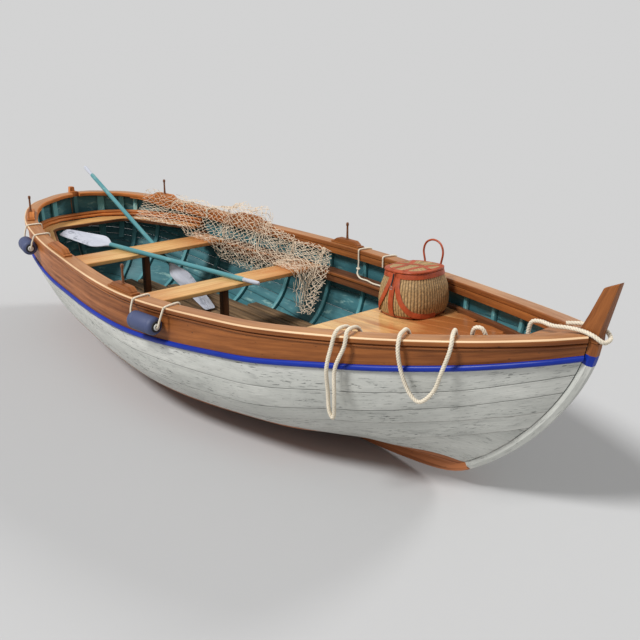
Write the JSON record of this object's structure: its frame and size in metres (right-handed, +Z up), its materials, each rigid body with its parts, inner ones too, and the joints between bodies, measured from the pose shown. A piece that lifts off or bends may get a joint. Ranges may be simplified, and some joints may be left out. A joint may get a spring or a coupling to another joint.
{
  "type": "rowing boat",
  "caption": "Open double-ended wooden fishing boat with thwarts, foredeck, oars, fenders, net, creel and mooring line.",
  "frame": {"origin": "on the centreline at the waterline, below the boat's widest frame", "axes": "+X towards the bow, +Y to port, +Z up"},
  "size_m": [5.1537, 1.9064, 1.2119],
  "materials": {
    "varnish": "weathered varnish",
    "pale_varnish": "worn pale varnish",
    "white_paint": "weathered matt white paint on planks",
    "brown_stain": "dark brown varnish",
    "blue_paint": "gloss blue paint",
    "teal_paint": "worn teal paint",
    "dark_wood": "bare dark wood",
    "floor_wood": "worn brown boards",
    "fender": "dull blue-grey",
    "rope": "laid off-white rope",
    "netting": "beige twine mesh",
    "wicker": "woven willow",
    "leather": "orange-brown leather"
  },
  "bodies": {
    "hull": {"aft_thwart": "pale_varnish", "aft_thwart_post": "dark_wood", "bilge_strake_port": "white_paint", "bilge_strake_starboard": "white_paint", "bottom_boards": "floor_wood", "bottom_strake_port": "brown_stain", "bottom_strake_starboard": "brown_stain", "breasthook": "varnish", "fishing_net": "netting", "foredeck": "pale_varnish", "garboard_strake_port": "brown_stain", "garboard_strake_starboard": "brown_stain", "gunwale_cap_port": "pale_varnish", "gunwale_cap_starboard": "pale_varnish", "inwale_port": "varnish", "inwale_starboard": "varnish", "keel": "brown_stain", "lower_strake_port": "white_paint", "lower_strake_starboard": "white_paint", "middle_strake_port": "white_paint", "middle_strake_starboard": "white_paint", "middle_thwart": "pale_varnish", "middle_thwart_post": "dark_wood", "mooring_rope": "rope", "ribs": "teal_paint", "rubbing_band_port": "blue_paint", "rubbing_band_starboard": "blue_paint", "sheer_strake_port": "varnish", "sheer_strake_starboard": "varnish", "side_ledge_port": "dark_wood", "side_ledge_starboard": "dark_wood", "stem": "varnish", "stern_bench": "pale_varnish", "sternpost": "varnish", "thole_block_aft_port": "varnish", "thole_block_aft_starboard": "varnish", "thole_block_forward_port": "varnish", "thole_block_forward_starboard": "varnish", "thole_block_middle_port": "varnish", "thole_block_middle_starboard": "varnish", "top_strake_port": "white_paint", "top_strake_starboard": "white_paint", "upper_strake_port": "white_paint", "upper_strake_starboard": "white_paint"},
    "creel": {"creel_body": "wicker", "creel_handle": "leather"},
    "creel_cover": {"creel_lid": "leather"},
    "upper_oar": {"upper_oar": "teal_paint"},
    "leaning_oar": {"leaning_oar": "teal_paint"},
    "fender_aft_port": {"fender_aft_port": "fender"},
    "fender_aft_starboard": {"fender_aft_starboard": "fender"},
    "fender_forward_port": {"fender_forward_port": "fender"},
    "fender_forward_starboard": {"fender_forward_starboard": "fender"}
  },
  "joints": [
    {"name": "creel_lift", "type": "slide", "parent": "hull", "child": "creel", "axis": [0, 0, 1], "range_m": [0, 0.4]},
    {"name": "creel_lid_hinge", "type": "hinge", "parent": "creel", "child": "creel_cover", "pos_m": [1.036, 0.564, 0.6588], "axis": [-0.9978, 0, -0.0663], "range_deg": [0, 80]},
    {"name": "upper_oar_lift", "type": "slide", "parent": "hull", "child": "upper_oar", "axis": [0, 0, 1], "range_m": [0, 0.6]},
    {"name": "leaning_oar_draw", "type": "slide", "parent": "hull", "child": "leaning_oar", "axis": [-0.9219, 0.0063, 0.3874], "range_m": [0, 0.8]},
    {"name": "fender_aft_port_swing", "type": "hinge", "parent": "hull", "child": "fender_aft_port", "pos_m": [-1.5536, 0.7181, 0.5867], "axis": [0.978, 0.1978, -0.0661], "range_deg": [0, 80]},
    {"name": "fender_aft_starboard_swing", "type": "hinge", "parent": "hull", "child": "fender_aft_starboard", "pos_m": [-1.5536, -0.7181, 0.5867], "axis": [-0.978, 0.1978, 0.0661], "range_deg": [0, 80]},
    {"name": "fender_forward_port_swing", "type": "hinge", "parent": "hull", "child": "fender_forward_port", "pos_m": [0.3362, 0.8641, 0.5447], "axis": [0.992, -0.123, 0.028], "range_deg": [0, 80]},
    {"name": "fender_forward_starboard_swing", "type": "hinge", "parent": "hull", "child": "fender_forward_starboard", "pos_m": [0.3362, -0.8641, 0.5447], "axis": [-0.992, -0.123, -0.028], "range_deg": [0, 80]}
  ]
}
